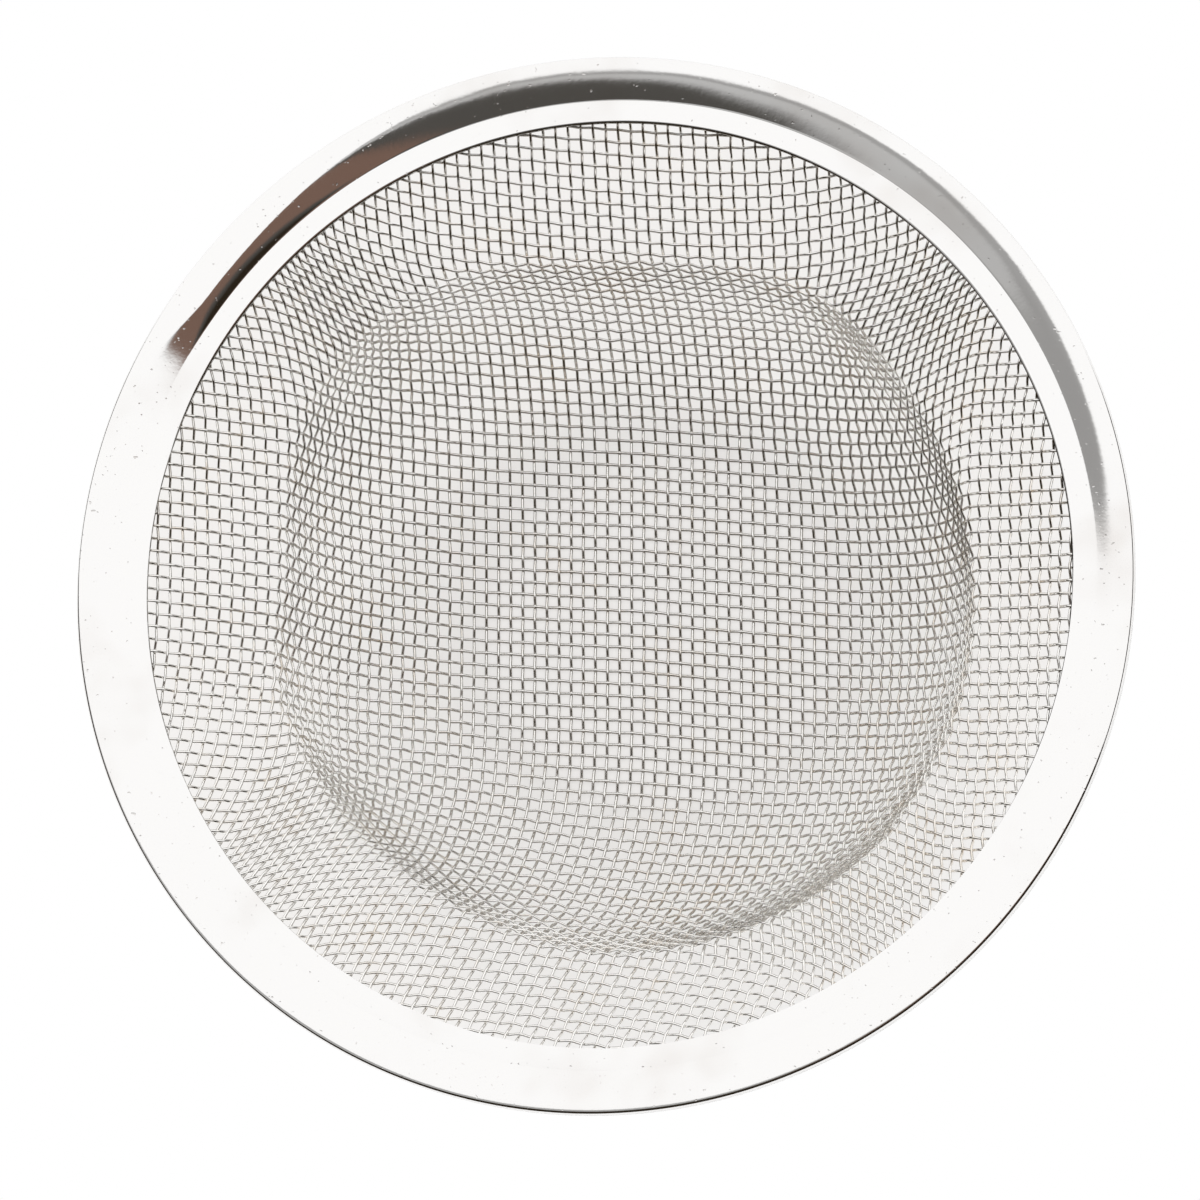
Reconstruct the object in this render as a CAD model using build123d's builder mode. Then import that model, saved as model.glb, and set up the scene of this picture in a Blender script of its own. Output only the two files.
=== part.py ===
from build123d import *
from bisect import bisect
from math import atan2, cos, hypot, pi, radians, sin, sqrt
import os

# Sink strainer: a bowl of woven wire cloth, its edge held in a folded rim of sheet steel.
# Millimetres, +Z up, with the origin on the ground under the middle of the bowl.

# Rim
rim_diameter = 114.3
rim_width = 6.95
sheet_thickness = 0.35
band_width = 2.3
band_fall = 0.12
crown_height = 0.6
crown_end_angle = 24
lip_inset = 1.2

# Wire cloth
wire_diameter = 0.28
wire_sides = 3
pitches_to_edge = 49
pitches_between_wires = 2
layer_clearance = 0.1
cloth_clearance = 0.07
cloth_end_gap = 3.0

# Bowl, measured on the middle of the cloth, where its straight runs would meet
bowl_depth = 29.3
floor_width = 12.7
floor_rise = 8.5
wall_width = 3.2
shoulder_width = 11.9
shoulder_rise = 7.5
edge_inset = 0.4
floor_bend_radius = 14.0
wall_bend_radius = 22.0
mouth_bend_radius = 3.0
edge_bend_radius = 2.0

# Accuracy of the draped cloth and of its wires
profile_step = 0.1
search_steps = 30
straightness = 0.21
least_turn = 0.8
crown_sides = 2
fold_sides = 2

# A wire's section has few sides, with the area of the round wire and a flat away from the other layer
wire_corner = wire_diameter * sqrt(pi / (2 * wire_sides * sin(2 * pi / wire_sides)))
wire_flat = wire_corner * cos(pi / wire_sides)
layer_offset = wire_corner + layer_clearance / 2

# Heights above the ground, and the rim's fold around the edge of the cloth
floor_height = layer_offset + wire_flat
edge_height = floor_height + bowl_depth
slot_height = 2 * (layer_offset + wire_corner + cloth_clearance)
fold_radius = slot_height / 2 + sheet_thickness
cloth_radius = rim_diameter / 2 - sheet_thickness - cloth_end_gap

# The bowl steps inwards from the rim's opening: shoulder, wall, sloping floor, flat floor
opening_radius = rim_diameter / 2 - rim_width
mouth_radius = opening_radius - shoulder_width
wall_radius = mouth_radius - wall_width
floor_radius = wall_radius - floor_width


def bowl_section():
    """The middle of the cloth, from the axis of the bowl to the cut edge."""
    with BuildLine() as section:
        FilletPolyline(
            (0, floor_height),
            (floor_radius, floor_height),
            (wall_radius, floor_height + floor_rise),
            (mouth_radius, edge_height - shoulder_rise),
            (opening_radius + edge_inset, edge_height),
            (cloth_radius, edge_height),
            radius=[floor_bend_radius, wall_bend_radius, mouth_bend_radius, edge_bend_radius],
        )
    return section.wire()


bowl_line = bowl_section()
cloth_pitch = bowl_line.length / pitches_to_edge
line_steps = round(bowl_line.length / profile_step)
line_points = [bowl_line @ (step / line_steps) for step in range(line_steps + 1)]
line_radii = [point.X for point in line_points]
line_heights = [point.Y for point in line_points]


def bowl_at(radius):
    """The height and the slope of the bowl at a distance from its axis."""
    if radius >= line_radii[-1]:
        return line_heights[-1], 0
    step = bisect(line_radii, radius)
    run = line_radii[step] - line_radii[step - 1]
    rise = line_heights[step] - line_heights[step - 1]
    return line_heights[step - 1] + rise * (radius - line_radii[step - 1]) / run, atan2(rise, run)


def square_off(point):
    """The direction square to the cloth at a point, towards the inside of the bowl."""
    slope = bowl_at(hypot(point.X, point.Y))[1]
    outward = Vector(point.X, point.Y, 0)
    if outward.length:
        outward = outward.normalized() * sin(slope)
    return Vector(0, 0, cos(slope)) - outward


def meet_bowl(centre, onward, upward, reach):
    """The point of the bowl at a reach from the centre, by halving the angle of the reach."""
    low, high = radians(-90), radians(90)
    for _ in range(search_steps):
        angle = (low + high) / 2
        point = centre + onward * (reach * cos(angle)) + upward * (reach * sin(angle))
        if point.Z < bowl_at(hypot(point.X, point.Y))[0]:
            low = angle
        else:
            high = angle
    return point


def next_crossing(left, right, behind):
    """The crossing one pitch from two others: cloth drawn over a form shears, and never stretches."""
    across = left - right
    centre = (left + right) / 2
    reach = sqrt(max(cloth_pitch**2 - (across.length / 2) ** 2, 0))
    upward = (centre - behind).cross(across).normalized()
    onward = across.cross(upward).normalized()
    return meet_bowl(centre, onward, upward, reach)


def drape_quarter():
    """The crossings of a quarter of the cloth, by their counts from the two middle wires."""
    middle_wire = [Vector(0, 0, floor_height)]
    while middle_wire[-1].X < cloth_radius + cloth_pitch:
        ahead = meet_bowl(middle_wire[-1], Vector(1, 0, 0), Vector(0, 0, 1), cloth_pitch)
        middle_wire.append(ahead)
    crossings = {}
    for count, point in enumerate(middle_wire):
        crossings[count, 0] = point
        crossings[0, count] = Vector(point.Y, point.X, point.Z)
    for across in range(1, len(middle_wire)):
        for along in range(1, len(middle_wire)):
            right, left = crossings.get((across, along - 1)), crossings.get((across - 1, along))
            if right and left and min(hypot(right.X, right.Y), hypot(left.X, left.Y)) < cloth_radius:
                behind = crossings[across - 1, along - 1]
                crossings[across, along] = next_crossing(left, right, behind)
    return crossings


def straighten(points):
    """The fewest of a line's points that hold its shape."""
    chord = (points[-1] - points[0]).normalized()
    offsets = [(point - points[0]).cross(chord).length for point in points]
    widest = offsets.index(max(offsets))
    if offsets[widest] <= straightness:
        return [points[0], points[-1]]
    return straighten(points[: widest + 1])[:-1] + straighten(points[widest:])


def warp_line(crossings, count, offset):
    """The line of a warp wire from edge to edge, set off the middle of the cloth."""
    half = []
    while (count, len(half)) in crossings:
        point = crossings[count, len(half)]
        if half and hypot(point.X, point.Y) > cloth_radius:
            inner, outer = hypot(half[-1].X, half[-1].Y), hypot(point.X, point.Y)
            half.append(half[-1] + (point - half[-1]) * ((cloth_radius - inner) / (outer - inner)))
            break
        half.append(point)
    half = [point + square_off(point) * offset for point in half]
    line = straighten([Vector(point.X, -point.Y, point.Z) for point in half[:0:-1]] + half)
    turns = zip(line, line[1:], line[2:])
    bends = [point for before, point, after in turns if (point - before).get_angle(after - point) > least_turn]
    return [line[0], *bends, line[-1]]


def chords(curve, sides):
    """The ends of the straight sides that stand for a curve."""
    return [curve @ (side / sides) for side in range(sides + 1)]


os.makedirs("parts", exist_ok=True)

# Rim: one ring of sheet, crowned over the edge of the cloth and folded flat beneath it
fold_centre = (rim_diameter / 2 - fold_radius, edge_height)
band_end = (opening_radius + band_width, edge_height + fold_radius + crown_height)
lip_end = (opening_radius + lip_inset, edge_height - fold_radius)
with BuildPart() as rim:
    with BuildSketch(Plane.XZ):
        with BuildLine():
            upper_fold = CenterArc(
                fold_centre, fold_radius, 90 - crown_end_angle, crown_end_angle - 90, mode=Mode.PRIVATE
            )
            lower_fold = CenterArc(fold_centre, fold_radius, 0, -90, mode=Mode.PRIVATE)
            crown = TangentArc(upper_fold @ 0, band_end, tangent=-(upper_fold % 0), mode=Mode.PRIVATE)
            Polyline(
                (opening_radius, band_end[1] - band_fall),
                *reversed(chords(crown, crown_sides)),
                *chords(upper_fold, fold_sides)[1:],
                *chords(lower_fold, fold_sides)[1:],
                lip_end,
            )
            offset(amount=sheet_thickness, side=Side.RIGHT, kind=Kind.INTERSECTION)
        make_face()
    revolve(axis=Axis.Z)
rim.part.label = "rim"
export_step(rim.part, "parts/rim.step")

# Cloth: warp wires along Y lie under weft wires along X, and twins either side of the middle share a node
cloth = drape_quarter()
inner_counts = range(0, max(count for count, _ in cloth), pitches_between_wires)
for family, layer, twin_plane in (("warp", -1, Plane.YZ), ("weft", 1, Plane.XZ)):
    for count in [count for count in inner_counts if cloth[count, 0].X < cloth_radius]:
        points = warp_line(cloth, count, layer * layer_offset)
        if family == "weft":
            points = [Vector(point.Y, point.X, point.Z) for point in points]
        along = points[1] - points[0]
        across = square_off(points[0]).cross(along)
        with BuildPart() as wires:
            with BuildLine():
                Polyline(*points)
            with BuildSketch(Plane(points[0], x_dir=across, z_dir=along)):
                RegularPolygon(wire_corner, wire_sides, rotation=-90 * layer)
            sweep(transition=Transition.RIGHT)
            if count:
                mirror(about=twin_plane)
        number = count // pitches_between_wires
        wires.part.label = f"{family}_wires_{number:02d}" if count else f"{family}_wire_middle"
        export_step(wires.part, f"parts/{wires.part.label}.step")
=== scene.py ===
"""Sink strainer: a bowl of woven wire cloth in a folded rim of sheet steel."""

from math import atan2, cos, degrees, hypot, pi, radians, sin, sqrt, tan

import bpy
import numpy as np
from mathutils import Matrix, Vector, noise


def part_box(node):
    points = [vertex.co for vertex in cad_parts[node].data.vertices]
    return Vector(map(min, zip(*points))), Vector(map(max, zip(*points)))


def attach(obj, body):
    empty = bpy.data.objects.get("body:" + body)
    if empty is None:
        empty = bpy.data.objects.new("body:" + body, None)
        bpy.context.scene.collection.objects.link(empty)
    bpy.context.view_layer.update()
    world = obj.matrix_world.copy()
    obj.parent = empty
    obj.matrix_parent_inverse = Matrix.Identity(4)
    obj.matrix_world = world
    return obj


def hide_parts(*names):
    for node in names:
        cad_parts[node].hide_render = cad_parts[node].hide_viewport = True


bl_info = {
    "name": "Sink Strainer",
    "version": (1, 0, 0),
    "blender": (4, 5, 0),
    "location": "View3D > Sidebar > Strainer",
    "description": "Models a sink strainer of woven wire cloth with a folded steel rim",
    "category": "Add Mesh",
}

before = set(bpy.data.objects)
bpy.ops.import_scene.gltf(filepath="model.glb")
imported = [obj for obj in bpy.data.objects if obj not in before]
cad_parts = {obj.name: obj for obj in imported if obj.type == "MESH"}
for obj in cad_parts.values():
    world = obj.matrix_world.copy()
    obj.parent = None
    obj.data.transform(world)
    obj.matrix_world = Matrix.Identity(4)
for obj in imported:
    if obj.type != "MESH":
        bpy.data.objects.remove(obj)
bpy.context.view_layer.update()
bpy.ops.object.select_all(action="DESELECT")
rim_low, rim_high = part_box("rim")

MM = 0.001


# Sizes and colours that a user would change


def length(name, description, millimetres):
    return bpy.props.FloatProperty(
        name=name, description=description, default=millimetres * MM, subtype="DISTANCE", precision=5
    )


def turn(name, description, angle):
    return bpy.props.FloatProperty(
        name=name, description=description, default=radians(angle), subtype="ANGLE"
    )


def colour(name, description, red, green, blue):
    return bpy.props.FloatVectorProperty(
        name=name, description=description, default=(red, green, blue), min=0, max=1, subtype="COLOR"
    )


class StrainerRimSizes(bpy.types.PropertyGroup):
    outer_radius: length("Outer Radius", "Radius of the rolled outer edge", rim_high.x / MM)
    opening_radius: length("Opening Radius", "Radius of the inner edge of the band", 50.0)
    ridge_radius: length("Crease Radius", "Radius of the crease between band and crown", 52.5)
    bead_radius: length("Bead Start", "Radius at which the crown meets the flat outer bead", 55.8)
    roll_radius: length("Roll Start", "Radius at which the bead rolls down", 56.77)
    crown_rise: length("Crown Rise", "How much the crown rises from the crease to the bead", 0.70)
    lip_radius: length("Lip Radius", "Radius of the inner edge of the folded lip underneath", 51.2)
    hem_height: length("Hem Height", "How far the inner edge of the band is turned down", 0.42)
    sheet: length("Sheet Thickness", "Thickness of the steel sheet", 0.35)


class StrainerClothSizes(bpy.types.PropertyGroup):
    wire_diameter: length("Wire Diameter", "Diameter of the wire", 0.31)
    pitch: length("Pitch", "Distance from one wire to the next", 1.38)
    crimp: length("Crimp", "How far a wire swings to either side of the cloth's middle", 0.157)
    edge_radius: length("Edge Radius", "Radius at which the cloth is cut off inside the rim", 53.6)
    samples: bpy.props.IntProperty(
        name="Samples", description="Points along a wire for each pitch", default=4, min=2, max=8
    )


class StrainerBowlSizes(bpy.types.PropertyGroup):
    floor_radius: length("Floor Radius", "Radius of the flat floor", 22.4)
    wall_radius: length("Wall Radius", "Radius at which the sloping floor meets the wall", 35.1)
    floor_rise: length("Floor Rise", "Height of the sloping floor", 8.5)
    mouth_radius: length("Mouth Radius", "Radius at which the wall meets the shoulder", 38.3)
    shoulder_rise: length("Shoulder Rise", "Height of the shoulder", 7.5)
    shoulder_radius: length("Shoulder Radius", "Radius at which the shoulder meets the rim", 50.6)
    floor_bend: length("Floor Bend", "Radius of the bend around the floor", 14)
    wall_bend: length("Wall Bend", "Radius of the bend below the wall", 22)
    mouth_bend: length("Mouth Bend", "Radius of the bend at the mouth", 3)
    shoulder_bend: length("Shoulder Bend", "Radius of the bend at the rim", 2)


class StrainerFinish(bpy.types.PropertyGroup):
    rim_colour: colour("Rim Steel", "Colour of the bright sheet steel", 0.93, 0.92, 0.91)
    rim_stain: colour("Rim Stain", "Colour of the faint stains on the sheet", 0.74, 0.69, 0.65)
    speck_colour: colour("Specks", "Colour of the fine specks on the sheet", 0.55, 0.50, 0.46)
    # The hem's colour is painted shade, not grime: near black for the shade in the slot under the band's
    # inner edge
    hem_shade_colour: colour("Hem", "Colour of the grime on the hem around the opening", 0.06, 0.045, 0.03)
    wire_colour: colour("Wire Steel", "Colour of the drawn wire", 0.97, 0.955, 0.93)
    wire_stain: colour("Wire Stain", "Colour of the dulled wire", 0.84, 0.77, 0.68)


class StrainerStudio(bpy.types.PropertyGroup):
    camera_distance: length("Camera Distance", "Distance of the camera from the rim", 600)
    camera_elevation: turn("Camera Elevation", "Height of the camera above the horizon", 76.3)
    camera_azimuth: turn("Camera Azimuth", "Side from which the camera looks", -45)
    camera_lens: bpy.props.FloatProperty(
        name="Camera Lens", description="Focal length in millimetres", default=168.85
    )
    floor_colour: colour("Floor", "Colour of the table", 0.93, 0.925, 0.92)
    card_colour: colour(
        "Dark Card", "Colour of the dark surroundings that the steel mirrors", 0.02, 0.014, 0.008
    )


# Shader nodes


WHITE = (1.0, 1.0, 1.0, 1.0)
BUMP_DISTANCE = 0.01 * MM


class Value:
    """A node's output, on which sums are written as Python expressions."""

    def __init__(self, shader, socket):
        self.shader, self.socket = shader, socket

    def math(self, operation, *others):
        return self.shader.node("Math", {"operation": operation}, dict(enumerate((self, *others))))

    def __add__(self, other):
        return self.math("ADD", other)

    def __mul__(self, other):
        return self.math("MULTIPLY", other)

    __radd__, __rmul__ = __add__, __mul__

    def __sub__(self, other):
        return self.math("SUBTRACT", other)

    def __rsub__(self, other):
        return (self * -1) + other

    def ramp(self, low, high, start=0.0, end=1.0):
        """A smooth rise from start to end while the value goes from low to high."""
        return self.shader.node(
            "MapRange", {"interpolation_type": "SMOOTHSTEP"}, {0: self, 1: low, 2: high, 3: start, 4: end}
        )


class Shader:
    """The node tree of a material or of the world."""

    def __init__(self, owner):
        owner.use_nodes = True
        self.tree = owner.node_tree
        self.tree.nodes.clear()

    def node(self, kind, settings=None, inputs=None, output=0):
        node = self.tree.nodes.new("ShaderNode" + kind)
        for name, setting in (settings or {}).items():
            setattr(node, name, setting)
        for name, value in (inputs or {}).items():
            if isinstance(value, Value):
                self.tree.links.new(value.socket, node.inputs[name])
            else:
                node.inputs[name].default_value = value
        return Value(self, node.outputs[output])

    def place(self):
        return self.node("TexCoord", output="Object")

    def noise(self, place, scale, detail, roughness):
        inputs = {"Vector": place, "Scale": scale, "Detail": detail, "Roughness": roughness}
        return self.node("TexNoise", None, inputs, "Fac")

    def mix(self, factor, first, second):
        sockets = {0: factor, 6: first, 7: second}
        return self.node("Mix", {"data_type": "RGBA"}, sockets, 2)

    def distance(self, place, centre):
        return self.node("VectorMath", {"operation": "DISTANCE"}, {0: place, 1: centre}, "Value")

    def bump(self, strength, height):
        return self.node("Bump", None, {"Strength": strength, "Distance": BUMP_DISTANCE, "Height": height})

    def metal(self, base, rough, bump):
        inputs = {"Base Color": base, "Metallic": 1.0, "Roughness": rough, "Normal": bump}
        self.output("Material", self.node("BsdfPrincipled", None, inputs))

    def output(self, kind, surface):
        node = self.tree.nodes.new("ShaderNodeOutput" + kind)
        self.tree.links.new(surface.socket, node.inputs["Surface"])


def rgb(values):
    return (*values, 1.0)


def rim_steel(finish):
    """Bright pressed sheet: slight waves and pits, a few specks, faint brown stains, and painted shade that
    darkens the hem under the band.
    """
    material = bpy.data.materials.new("bright sheet steel")
    shader = Shader(material)
    place = shader.place()
    waves = shader.noise(place, 45.0, 2.0, 0.5)
    clouds = shader.noise(place, 60.0, 3.0, 0.6)
    fine = shader.noise(place, 900.0, 2.0, 0.6)
    grain = shader.noise(place, 2600.0, 3.0, 0.7)
    specks = shader.noise(place, 2200.0, 1.0, 0.4).ramp(0.72, 0.80)

    # The hem is what lies below the band, close to the opening; there the sheet is painted near black as
    # shade in the slot under the band
    height_up = shader.node("SeparateXYZ", None, {0: place}, "Z")
    across = shader.node("VectorMath", {"operation": "MULTIPLY"}, {0: place, 1: (1, 1, 0)})
    radius = shader.distance(across, (0, 0, 0))
    hem = height_up.ramp(0.0300, 0.0303, 1.0, 0.0) * radius.ramp(0.0515, 0.0530, 1.0, 0.0)

    stains = clouds.ramp(0.5, 0.8)
    base = shader.mix(stains * 0.55, rgb(finish.rim_colour), rgb(finish.rim_stain))
    base = shader.mix(specks * 0.25, base, rgb(finish.speck_colour))
    # Painted shade: the hem is darkened almost to black where shade falls under the band
    base = shader.mix(hem * 0.93, base, rgb(finish.hem_shade_colour))
    rough = 0.03 + 0.06 * clouds + 0.03 * grain + 0.2 * specks + 0.4 * hem
    shader.metal(base, rough, shader.bump(1.0, waves * 12.0 + fine * 0.3 + grain * 0.15 - specks * 0.8))
    return material


def wire_steel(finish):
    """Drawn steel wire: bright, finely grained, with dull stretches."""
    material = bpy.data.materials.new("drawn steel wire")
    shader = Shader(material)
    place = shader.place()
    clouds = shader.noise(place, 90.0, 3.0, 0.6)
    patches = shader.noise(place, 420.0, 3.0, 0.6)
    grain = shader.noise(place, 6000.0, 2.0, 0.6)
    dull = (0.5 * patches + 0.5 * clouds).ramp(0.45, 0.75)
    base = shader.mix(dull, rgb(finish.wire_colour), rgb(finish.wire_stain))
    rough = 0.03 + 0.06 * dull + 0.03 * grain
    shader.metal(base, rough, shader.bump(0.6, grain + patches * 2.0))
    return material


# Shape of the bowl


def rounded(corners, bends, steps=12):
    """A line through the corners, each turned with the radius of its bend."""
    line = [Vector(corners[0])]
    for before, corner, after, bend in zip(corners, corners[1:], corners[2:], bends):
        before, corner, after = Vector(before), Vector(corner), Vector(after)
        into, out = (corner - before).normalized(), (after - corner).normalized()
        angle = into.angle_signed(out)
        reach = bend * tan(abs(angle) / 2)
        side = Vector((-into.y, into.x)) if into.cross(out) > 0 else Vector((into.y, -into.x))
        centre = corner - into * reach + side * bend
        arm = -side * bend
        sign = 1 if into.cross(out) > 0 else -1
        for step in range(steps + 1):
            swing = sign * abs(angle) * step / steps
            across = arm.x * cos(swing) - arm.y * sin(swing)
            along = arm.x * sin(swing) + arm.y * cos(swing)
            line.append(centre + Vector((across, along)))
    line.append(Vector(corners[-1]))
    return line


# How far the mouth is pushed out of true, as (azimuth in degrees, millimetres)
MOUTH = (
    (2, 0.9), (33, 0.4), (56, 1.3), (76, -1.3), (95, -1.7), (112, 1.0), (126, 2.4), (145, 2.5), (166, -0.9),
    (177, -2.0), (194, 0.4), (214, -0.4), (241, -0.6), (267, 0.8), (283, 1.1), (315, 1.9), (343, 1.5),
)  # fmt: skip

# The pushes are smoothed around the bowl by an angle in degrees, set in over the floor and fade below the rim
PUSH_SPREAD = 5
PUSH_START, PUSH_RISE, PUSH_FADE = 20 * MM, 16 * MM, 8.5 * MM

# How far the floor lies off centre, and from which radius and over what distance that fades
FLOOR_SHIFT = (2.4 * MM, -0.6 * MM)
SHIFT_START, SHIFT_FADE = 16 * MM, 24 * MM

# Accuracy of the bowl and of the cloth on it
SECTION_POINTS = 1200
AROUND_POINTS = 720
SEARCH_STEPS = 18
SLOPE_STEP = 0.1 * MM
MOST_WIRES = 70
SECTION_MARGIN = 3 * MM


class Bowl:
    """The middle of the cloth as a height above each place, a little out of true as in a used strainer."""

    def __init__(self, sizes, cloth, edge_height):
        self.floor_height = cloth.crimp + cloth.wire_diameter / 2
        line = rounded(
            (
                (0, self.floor_height),
                (sizes.floor_radius, self.floor_height),
                (sizes.wall_radius, self.floor_height + sizes.floor_rise),
                (sizes.mouth_radius, edge_height - sizes.shoulder_rise),
                (sizes.shoulder_radius, edge_height),
                (cloth.edge_radius + SECTION_MARGIN, edge_height),
            ),
            (sizes.floor_bend, sizes.wall_bend, sizes.mouth_bend, sizes.shoulder_bend),
        )
        radii = np.linspace(0, line[-1].x, SECTION_POINTS)
        self.step = radii[1]
        self.heights = np.interp(radii, [p.x for p in line], [p.y for p in line]).tolist()
        azimuths = np.radians([angle for angle, _ in MOUTH])
        pushes = np.array([push for _, push in MOUTH]) * MM
        around = np.linspace(0, 2 * pi, AROUND_POINTS, endpoint=False)
        push = np.interp(around, azimuths, pushes, period=2 * pi)
        spread = np.exp(-0.5 * (np.minimum(around, 2 * pi - around) / radians(PUSH_SPREAD)) ** 2)
        self.push = np.fft.ifft(np.fft.fft(push) * np.fft.fft(spread / spread.sum())).real.tolist()
        self.shoulder = sizes.shoulder_radius

    def height(self, x, y):
        fade = ease((hypot(x, y) - SHIFT_START) / SHIFT_FADE)
        radius = hypot(x - FLOOR_SHIFT[0] * (1 - fade), y - FLOOR_SHIFT[1] * (1 - fade))
        if radius < self.shoulder:
            place = atan2(y, x) / (2 * pi) * AROUND_POINTS
            low = int(place // 1)
            part = place - low
            push = self.push[low % AROUND_POINTS] * (1 - part) + self.push[(low + 1) % AROUND_POINTS] * part
            weight = ease((radius - PUSH_START) / PUSH_RISE) * ease((self.shoulder - radius) / PUSH_FADE)
            radius -= push * weight
        place = radius / self.step
        low = min(int(place), len(self.heights) - 2)
        part = min(place - low, 1)
        return self.heights[low] * (1 - part) + self.heights[low + 1] * part


def ease(fraction):
    """A smooth rise from 0 to 1."""
    fraction = min(max(fraction, 0), 1)
    return fraction * fraction * (3 - 2 * fraction)


def meet(bowl, centre, onward, upward, reach):
    """The point of the bowl at a reach from the centre, by halving the angle of the reach."""
    low, high = -pi / 2, pi / 2
    for _ in range(SEARCH_STEPS):
        angle = (low + high) / 2
        point = centre + onward * (reach * cos(angle)) + upward * (reach * sin(angle))
        if point.z < bowl.height(point.x, point.y):
            low = angle
        else:
            high = angle
    return point


# The four middle half wires: the azimuth each starts on and the one it bends to,
# then the radii that they bend over
ARMS = {
    (1, 0): (-6.3, -6.6),
    (0, 1): (90.0, 88.6),
    (-1, 0): (175.8, 176.4),
    (0, -1): (-90.0, -111.0),
}
BEND_START, BEND_LENGTH = 8 * MM, 34 * MM


def drape(bowl, pitch, edge):
    """The crossings of the cloth: it is drawn over the bowl, where it shears and never stretches."""
    start = Vector((0, 0, bowl.height(0, 0)))
    crossings = {(0, 0): start}
    for (east, north), (first, last) in ARMS.items():
        point, count = start, 0
        while hypot(point.x, point.y) < edge + pitch:
            fade = ease((hypot(point.x, point.y) - BEND_START) / BEND_LENGTH)
            heading = radians(first + (last - first) * fade)
            point = meet(bowl, point, Vector((cos(heading), sin(heading), 0)), Vector((0, 0, 1)), pitch)
            count += 1
            crossings[east * count, north * count] = point
    for east in (1, -1):
        for north in (1, -1):
            for across in range(1, MOST_WIRES):
                for along in range(1, MOST_WIRES):
                    right = crossings.get((east * across, north * (along - 1)))
                    left = crossings.get((east * (across - 1), north * along))
                    if right is None or left is None:
                        continue
                    if min(hypot(right.x, right.y), hypot(left.x, left.y)) > edge:
                        continue
                    behind = crossings[east * (across - 1), north * (along - 1)]
                    middle = (left + right) / 2
                    side = left - right
                    reach = sqrt(max(pitch**2 - (side.length / 2) ** 2, 0))
                    upward = (middle - behind).cross(side).normalized()
                    upward *= 1 if upward.z > 0 else -1
                    onward = side.cross(upward).normalized()
                    onward *= 1 if onward.dot(middle - behind) > 0 else -1
                    crossings[east * across, north * along] = meet(bowl, middle, onward, upward, reach)
    return crossings


def wire_line(bowl, crossings, places, over, sizes):
    """The middle line of one wire, swinging over and under the wires that it crosses."""
    points = np.array([crossings[place] for place in places])
    step = SLOPE_STEP
    east = np.array([bowl.height(x + step, y) - bowl.height(x - step, y) for x, y, _ in points]) / (2 * step)
    north = np.array([bowl.height(x, y + step) - bowl.height(x, y - step) for x, y, _ in points]) / (2 * step)
    normals = np.stack((-east, -north, np.ones(len(points))), 1)
    normals /= np.linalg.norm(normals, axis=1)[:, None]
    padded = np.concatenate((2 * points[:1] - points[1:2], points, 2 * points[-1:] - points[-2:-1]))
    before, first, last, after = padded[:-3], padded[1:-2], padded[2:-1], padded[3:]
    signs = np.array([1 if (sum(place) + over) % 2 else -1 for place in places])
    rows = []
    for sample in range(sizes.samples):
        part = sample / sizes.samples
        spline = 0.5 * (
            2 * first
            + (last - before) * part
            + (2 * before - 5 * first + 4 * last - after) * part**2
            + (3 * first - before - 3 * last + after) * part**3
        )
        normal = normals[:-1] * (1 - part) + normals[1:] * part
        rows.append(spline + normal * (signs[:-1] * cos(pi * part) * sizes.crimp)[:, None])
    line = np.stack(rows, 1).reshape(-1, 3)
    line = np.concatenate((line, points[-1:] + normals[-1:] * signs[-1] * sizes.crimp))
    inside = np.hypot(line[:, 0], line[:, 1]) < sizes.edge_radius
    return line[inside]


# The rim's section: its bends and how they are divided, and the small steps at the ends of its flat parts
HEM_BEND = ((0, 0.10), (0.09, 0.02), (0.28, 0))
CROWN_PARTS = (0, 0.06, 0.13, 0.22, 0.33, 0.46, 0.6, 0.74, 0.88, 1.0)
CROWN_POWER = 1.35
CROWN_CLEARANCE = 0.02 * MM
CREASE_WIDTH = 0.12 * MM
BEAD_EDGE, BEAD_DROP = 0.2 * MM, 0.004 * MM
ROLL_ANGLES = (0, 10, 20, 30, 40, 50, 60, 70, 80, 90)
ROLL_DROP = 0.5 * MM
FOLD_ANGLES = np.arange(13, 91, 12.8)
FOLD_DEPTH = 0.7 * MM
SPIN_STEPS = 512
JOIN_DISTANCE = 0.002 * MM
SMOOTH_ANGLE = 38

# How far the opening lies off centre, and how ragged the bead is, as pairs of a noise's scale and its reach
OPENING_SHIFT = Vector((0.55, -0.10)) * MM
RAGGED = ((900, 0.1), (150, 0.12))
RAGGED_WIDTH = 0.6 * MM

# The sheet's slight waves: the noise's scale, its reach, and the radii over which they set in
WAVE_SCALE, WAVE_REACH = 40, 0.01 * MM
WAVE_START, WAVE_RISE = 50.3 * MM, 2 * MM

# The crown narrows in the north-west: by what share, and the azimuths in degrees
# at which that sets in and ends
NARROWING = 0.62
NARROW_START, NARROW_RISE = 106, 34
NARROW_END, NARROW_FALL = 155, 12


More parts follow.
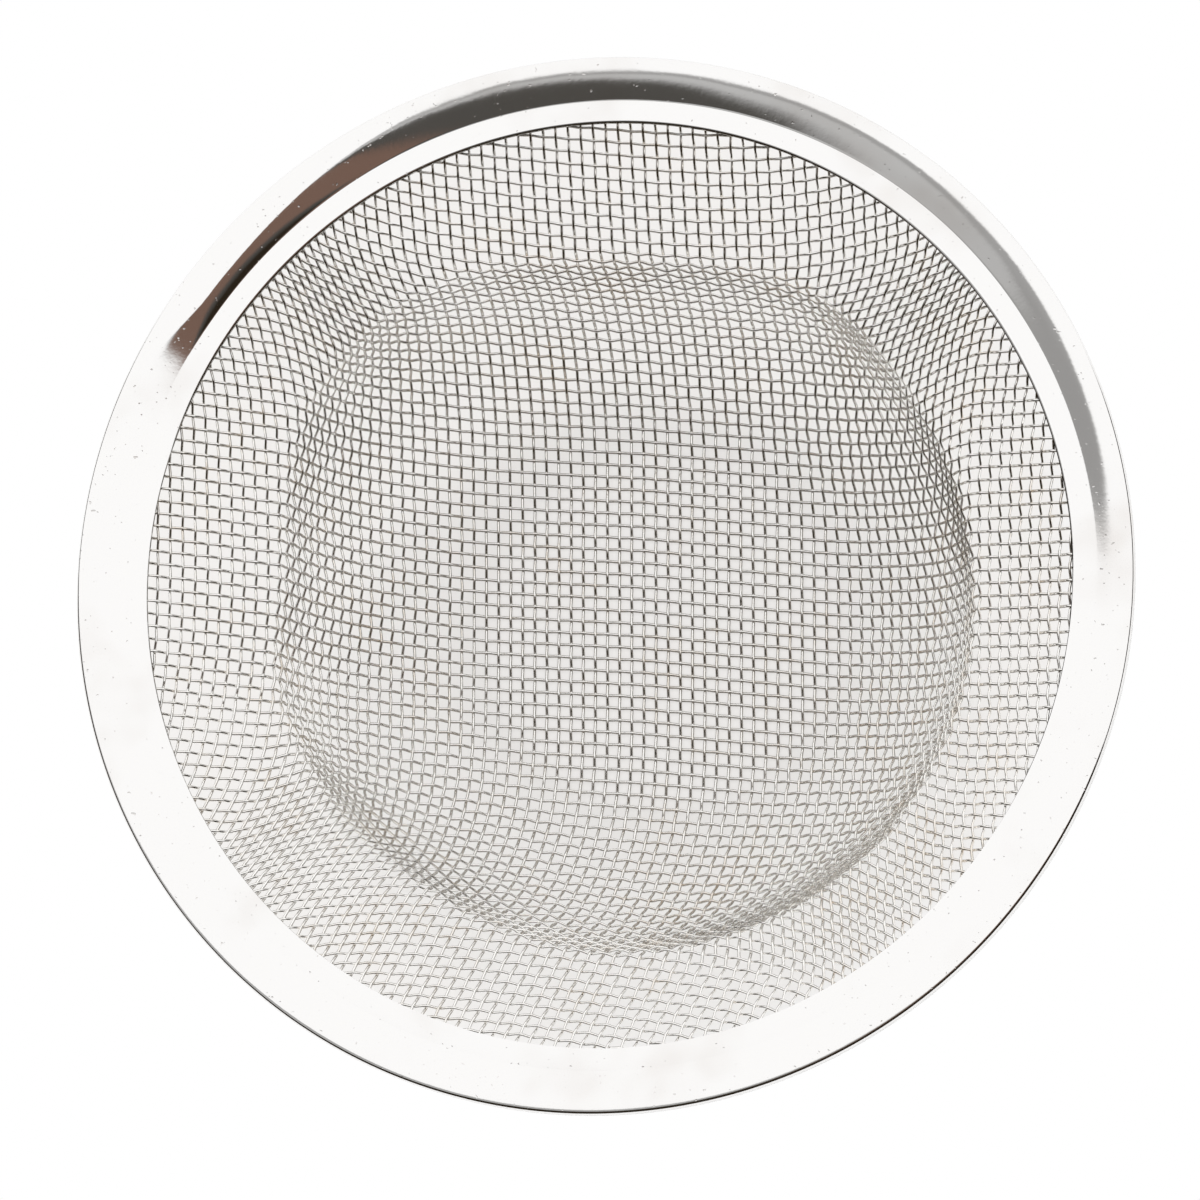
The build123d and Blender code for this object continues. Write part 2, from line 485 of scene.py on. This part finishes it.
def rim_outline(sizes, top, bottom, middle):
    """The outer side of the rim's section as radii and heights, from the hem over the crown to the lip."""
    band = top - sizes.crown_rise - CROWN_CLEARANCE
    outline = [
        (sizes.opening_radius, band - sizes.hem_height),
        *((sizes.opening_radius + out * MM, band - down * MM) for out, down in HEM_BEND),
        (sizes.ridge_radius - CREASE_WIDTH, band),
    ]
    width = sizes.bead_radius - sizes.ridge_radius
    outline += [
        (sizes.ridge_radius + width * part, band + sizes.crown_rise * (1 - (1 - part) ** CROWN_POWER))
        for part in CROWN_PARTS
    ]
    outline += [(sizes.bead_radius + BEAD_EDGE, top - BEAD_DROP), (sizes.roll_radius - BEAD_EDGE, top)]
    depth = sizes.outer_radius - sizes.roll_radius
    outline += [
        (sizes.roll_radius + depth * sin(angle), top - ROLL_DROP + ROLL_DROP * cos(angle))
        for angle in np.radians(ROLL_ANGLES)
    ]
    outline.append((sizes.outer_radius, middle))
    outline += [
        (sizes.outer_radius - FOLD_DEPTH + FOLD_DEPTH * cos(angle), middle - (middle - bottom) * sin(angle))
        for angle in np.radians(FOLD_ANGLES)
    ]
    outline.append((sizes.lip_radius, bottom))
    return outline


def press(vertex, sizes, bottom, middle):
    """Puts one of the rim's vertices out of true, as the press left it."""
    place, radius = vertex.co, hypot(vertex.co.x, vertex.co.y)
    near = ease(1 - abs(radius - sizes.bead_radius) / RAGGED_WIDTH)
    lean = ease((sizes.bead_radius - radius) / (sizes.bead_radius - sizes.ridge_radius))
    ragged = sum(noise.noise(place * scale) * reach for scale, reach in RAGGED)
    pressed = (noise.noise(place * WAVE_SCALE) - 1) * WAVE_REACH * ease((radius - WAVE_START) / WAVE_RISE)
    vertex.co.z += pressed * ease((place.z - bottom) / MM)
    if place.z <= middle:
        return
    if sizes.ridge_radius < radius < sizes.bead_radius + BEAD_EDGE / 2:
        azimuth = degrees(atan2(place.y, place.x))
        narrow = ease((azimuth - NARROW_START) / NARROW_RISE) * ease((NARROW_END - azimuth) / NARROW_FALL)
        tight = 1 - NARROWING * narrow
        vertex.co.xy *= (sizes.ridge_radius + (radius - sizes.ridge_radius) * tight) / radius
    vertex.co.xy *= 1 + near * ragged * MM / radius
    vertex.co.xy += OPENING_SHIFT * lean


class StrainerRim(bpy.types.Operator):
    """Presses the rim from a strip of sheet: band, crown, outer roll and the lip folded under the cloth"""

    bl_idname = "strainer.rim"
    bl_label = "Rim"

    def execute(self, context):
        sizes, finish = context.scene.strainer_rim, context.scene.strainer_finish
        top, bottom = rim_high.z, rim_low.z
        middle = top - 0.5 * (top - bottom)
        outline = rim_outline(sizes, top, bottom, middle)
        bpy.ops.mesh.primitive_plane_add(size=1 * MM, location=(outline[0][0], 0, outline[0][1]))
        rim = context.object
        bpy.ops.object.transform_apply(location=True, rotation=False, scale=False)
        bpy.ops.object.mode_set(mode="EDIT")
        bpy.ops.mesh.merge(type="CENTER")
        for (radius, height), (next_radius, next_height) in zip(outline, outline[1:]):
            bpy.ops.mesh.extrude_region_move(
                TRANSFORM_OT_translate={"value": (next_radius - radius, 0, next_height - height)}
            )
        bpy.ops.mesh.select_all(action="SELECT")
        bpy.ops.mesh.spin(
            steps=SPIN_STEPS, angle=2 * pi, center=(0, 0, 0), axis=(0, 0, 1), use_auto_merge=True
        )
        bpy.ops.mesh.select_all(action="SELECT")
        bpy.ops.mesh.remove_doubles(threshold=JOIN_DISTANCE)
        bpy.ops.mesh.normals_make_consistent(inside=False)
        bpy.ops.object.mode_set(mode="OBJECT")
        for vertex in rim.data.vertices:
            press(vertex, sizes, bottom, middle)
        sheet = rim.modifiers.new("sheet", "SOLIDIFY")
        sheet.thickness = sizes.sheet
        sheet.offset = -1
        sheet.use_even_offset = True
        bpy.ops.object.modifier_apply(modifier="sheet")
        bpy.ops.object.shade_smooth_by_angle(angle=radians(SMOOTH_ANGLE))
        finish_piece(rim, "folded_rim", rim_steel(finish), ("rim",))
        return {"FINISHED"}


def finish_piece(piece, name, material, nodes):
    """Names a piece, gives it its material and lets it stand for its nodes."""
    piece.name = piece.data.name = name
    piece.data.materials.clear()
    piece.data.materials.append(material)
    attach(piece, "root")
    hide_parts(*nodes)
    bpy.ops.object.select_all(action="DESELECT")


# The groups of either family of wires: a name, the counts of its wires from the middle, and the CAD's numbers
WIRE_GROUPS = (
    ("middle", range(0, 16), range(0, 8)),
    ("wall", range(16, 33), range(8, 17)),
    ("edge", range(33, MOST_WIRES), range(17, 25)),
)
FEWEST_CROSSINGS, FEWEST_POINTS = 3, 5


class StrainerCloth(bpy.types.Operator):
    """Weaves the wire cloth over the bowl, each family of wires in a middle, a wall and an edge group"""

    bl_idname = "strainer.cloth"
    bl_label = "Wire Cloth"

    def execute(self, context):
        scene = context.scene
        sizes = scene.strainer_cloth
        warp_low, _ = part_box("warp_wires_24")
        _, weft_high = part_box("weft_wires_24")
        bowl = Bowl(scene.strainer_bowl, sizes, (warp_low.z + weft_high.z) / 2)
        crossings = drape(bowl, sizes.pitch, sizes.edge_radius)
        reach = max(abs(count) for place in crossings for count in place)
        material = wire_steel(scene.strainer_finish)
        for family, axis in (("warp", 0), ("weft", 1)):
            for group, counts, numbers in WIRE_GROUPS:
                curve = bpy.data.curves.new(f"{family}_{group}", "CURVE")
                curve.dimensions = "3D"
                curve.bevel_depth = sizes.wire_diameter / 2
                curve.bevel_resolution = 1
                curve.use_fill_caps = True
                for count in range(-reach, reach + 1):
                    if abs(count) not in counts:
                        continue
                    places = [
                        (count, along) if axis == 0 else (along, count)
                        for along in range(-reach, reach + 1)
                    ]
                    places = [place for place in places if place in crossings]
                    if len(places) < FEWEST_CROSSINGS:
                        continue
                    line = wire_line(bowl, crossings, places, axis, sizes)
                    if len(line) < FEWEST_POINTS:
                        continue
                    spline = curve.splines.new("POLY")
                    spline.points.add(len(line) - 1)
                    spline.points.foreach_set("co", np.c_[line, np.ones(len(line))].ravel())
                    spline.use_smooth = True
                piece = bpy.data.objects.new(f"{family}_{group}", curve)
                scene.collection.objects.link(piece)
                context.view_layer.objects.active = piece
                piece.select_set(True)
                bpy.ops.object.convert(target="MESH")
                nodes = [
                    f"{family}_wires_{number:02d}" if number else f"{family}_wire_middle"
                    for number in numbers
                ]
                finish_piece(context.object, f"{family}_{group}", material, nodes)
        return {"FINISHED"}


# The table, by distances from where the camera sees the rim and the bowl on it, with painted shadow under the
# strainer
TABLE_SIZE = 12
RIM_SEEN, BOWL_SHADOW_CENTRE = (-0.0052, 0.0052, 0), (0.001, -0.011, 0)
# The first tone is painted shade under the strainer, seen by the camera; the second is a painted dark shadow
# that only reflections see
TABLE_PAINTED_SHADE, TABLE_MIRRORED_SHADOW = (0.95, 0.925, 0.90, 1.0), (0.35, 0.33, 0.30, 1)

# Tones of the dark surroundings: high up, and a warm patch in the south-east
TONE_HIGH, TONE_WARM = (0.07, 0.066, 0.06, 1.0), (0.17, 0.105, 0.08, 1.0)

# The camera's aim on the rim's plane, to the right of the bowl's axis and below it in the picture
AIM_HEIGHT, AIM_RIGHT, AIM_DOWN = 30.1 * MM, 0.15 * MM, 2.24 * MM


class StrainerStage(bpy.types.Operator):
    """Sets the table, the light and the camera"""

    bl_idname = "strainer.stage"
    bl_label = "Stage"

    def execute(self, context):
        scene = context.scene
        studio = scene.strainer_studio
        scene.view_settings.view_transform = "Standard"
        self.add_floor(studio)
        self.add_world(scene, studio)
        self.add_camera(scene, studio)
        return {"FINISHED"}

    def add_floor(self, studio):
        bpy.ops.mesh.primitive_plane_add(size=TABLE_SIZE, location=(0, 0, 0))
        floor = bpy.context.object
        floor.name = floor.data.name = "table"
        material = bpy.data.materials.new("white table")
        shader = Shader(material)
        # Inside a disc under the rim the camera sees the table's real light and shadow mixed with painted
        # shade, an emitted warm tone; outside the disc the table is evenly white
        radius = shader.distance(shader.place(), RIM_SEEN)
        outside = radius.ramp(0.0505, 0.0555)
        # Painted shadow: a circle under the bowl gets less of the emitted tone, so it is darker there
        shade = shader.distance(shader.place(), BOWL_SHADOW_CENTRE).ramp(0.033, 0.041)
        # Glossy rays see the table painted dark under and just around the rim: a painted shadow for the steel
        # to mirror
        mirrored_shadow = shader.mix(radius.ramp(0.055, 0.058), TABLE_MIRRORED_SHADOW, WHITE)
        glossy = shader.node("LightPath", output="Is Glossy Ray")
        lit = shader.node(
            "BsdfDiffuse", None, {"Color": shader.mix(glossy, rgb(studio.floor_colour), mirrored_shadow)}
        )
        white = shader.node(
            "Emission", None, {"Color": shader.mix(outside, TABLE_PAINTED_SHADE, WHITE), "Strength": 1.0}
        )
        seen = shader.node("LightPath", output="Is Camera Ray")
        share = (0.60 + 0.16 * shade).math("MAXIMUM", outside)
        shader.output("Material", shader.node("MixShader", None, {0: seen * share, 1: lit, 2: white}))
        floor.data.materials.append(material)
        bpy.ops.object.select_all(action="DESELECT")

    def add_world(self, scene, studio):
        """A white room that is dark in front of the strainer, as polished steel mirrors it."""
        world = bpy.data.worlds.new("soft room")
        scene.world = world
        shader = Shader(world)
        way = shader.node("SeparateXYZ", None, {0: shader.node("TexCoord", output="Generated")})
        x, y, z = (Value(shader, way.socket.node.outputs[axis]) for axis in range(3))
        azimuth = y.math("ARCTAN2", x) * degrees(1)
        elevation = z.math("ARCSINE") * degrees(1)

        # The front half is dark, with a lighter gap in the south-west and a softer west
        front = (y + x * 0.22).ramp(-0.02, 0.03, 1.0, 0.0)
        gap = azimuth.ramp(-176, -170) * azimuth.ramp(-156, -140, 1.0, 0.0) * elevation.ramp(52, 57)
        soft = azimuth.math("ABSOLUTE").ramp(150, 163) * elevation.ramp(40, 46) * (1 - gap)

        # Two low dark things stand in the east and in the north-west
        east = azimuth.ramp(-35, -25) * azimuth.ramp(28, 38, 1.0, 0.0) * elevation.ramp(26, 34, 1.0, 0.0)
        west = azimuth.ramp(142, 152) * elevation.ramp(22, 30, 1.0, 0.0)
        dark = (front * (1 - 0.45 * gap - 0.3 * soft)).math("MAXIMUM", east).math("MAXIMUM", west)

        warm = azimuth.ramp(-100, -80) * azimuth.ramp(-12, -2, 1.0, 0.0) * elevation.ramp(66, 71)
        tone = shader.mix(elevation.ramp(58, 68), rgb(studio.card_colour), TONE_HIGH)
        tone = shader.mix(warm, tone, TONE_WARM)
        glossy = shader.node("LightPath", output="Is Glossy Ray")
        tone = shader.mix(dark * glossy, WHITE, tone)
        surface = shader.node("Background", None, {"Color": tone, "Strength": 1 + 0.04 * glossy})
        shader.output("World", surface)

    def add_camera(self, scene, studio):
        rise, way = studio.camera_elevation, studio.camera_azimuth
        back = Vector((cos(rise) * cos(way), cos(rise) * sin(way), sin(rise)))
        right = Vector((0, 1, 0)).cross(back).normalized()
        up = back.cross(right)
        aim = Vector((0, 0, AIM_HEIGHT)) + right * AIM_RIGHT - up * AIM_DOWN
        data = bpy.data.cameras.new("camera")
        data.sensor_width = 36
        data.lens = studio.camera_lens
        camera = bpy.data.objects.new("camera", data)
        scene.collection.objects.link(camera)
        camera.location = aim + back * studio.camera_distance
        turn_matrix = [[right[i], up[i], back[i]] for i in range(3)]
        camera.rotation_euler = Matrix(turn_matrix).to_euler()
        scene.camera = camera


class StrainerPanel(bpy.types.Panel):
    """Builds the strainer piece by piece"""

    bl_idname = "VIEW3D_PT_strainer"
    bl_label = "Sink Strainer"
    bl_space_type = "VIEW_3D"
    bl_region_type = "UI"
    bl_category = "Strainer"

    def draw(self, context):
        scene = context.scene
        for title, group, operator in (
            ("Rim", scene.strainer_rim, StrainerRim),
            ("Bowl", scene.strainer_bowl, None),
            ("Wire Cloth", scene.strainer_cloth, StrainerCloth),
            ("Finish", scene.strainer_finish, None),
            ("Stage", scene.strainer_studio, StrainerStage),
        ):
            box = self.layout.box()
            box.label(text=title)
            for name in group.__annotations__:
                box.prop(group, name)
            if operator:
                box.operator(operator.bl_idname)


groups = {
    "strainer_rim": StrainerRimSizes,
    "strainer_bowl": StrainerBowlSizes,
    "strainer_cloth": StrainerClothSizes,
    "strainer_finish": StrainerFinish,
    "strainer_studio": StrainerStudio,
}
classes = (*groups.values(), StrainerRim, StrainerCloth, StrainerStage, StrainerPanel)


def register():
    for item in classes:
        bpy.utils.register_class(item)
    for name, group in groups.items():
        setattr(bpy.types.Scene, name, bpy.props.PointerProperty(type=group))


def unregister():
    for name in groups:
        delattr(bpy.types.Scene, name)
    for item in reversed(classes):
        bpy.utils.unregister_class(item)


def main():
    register()
    bpy.ops.strainer.stage()
    bpy.ops.strainer.rim()
    bpy.ops.strainer.cloth()


if __name__ == "__main__":
    main()
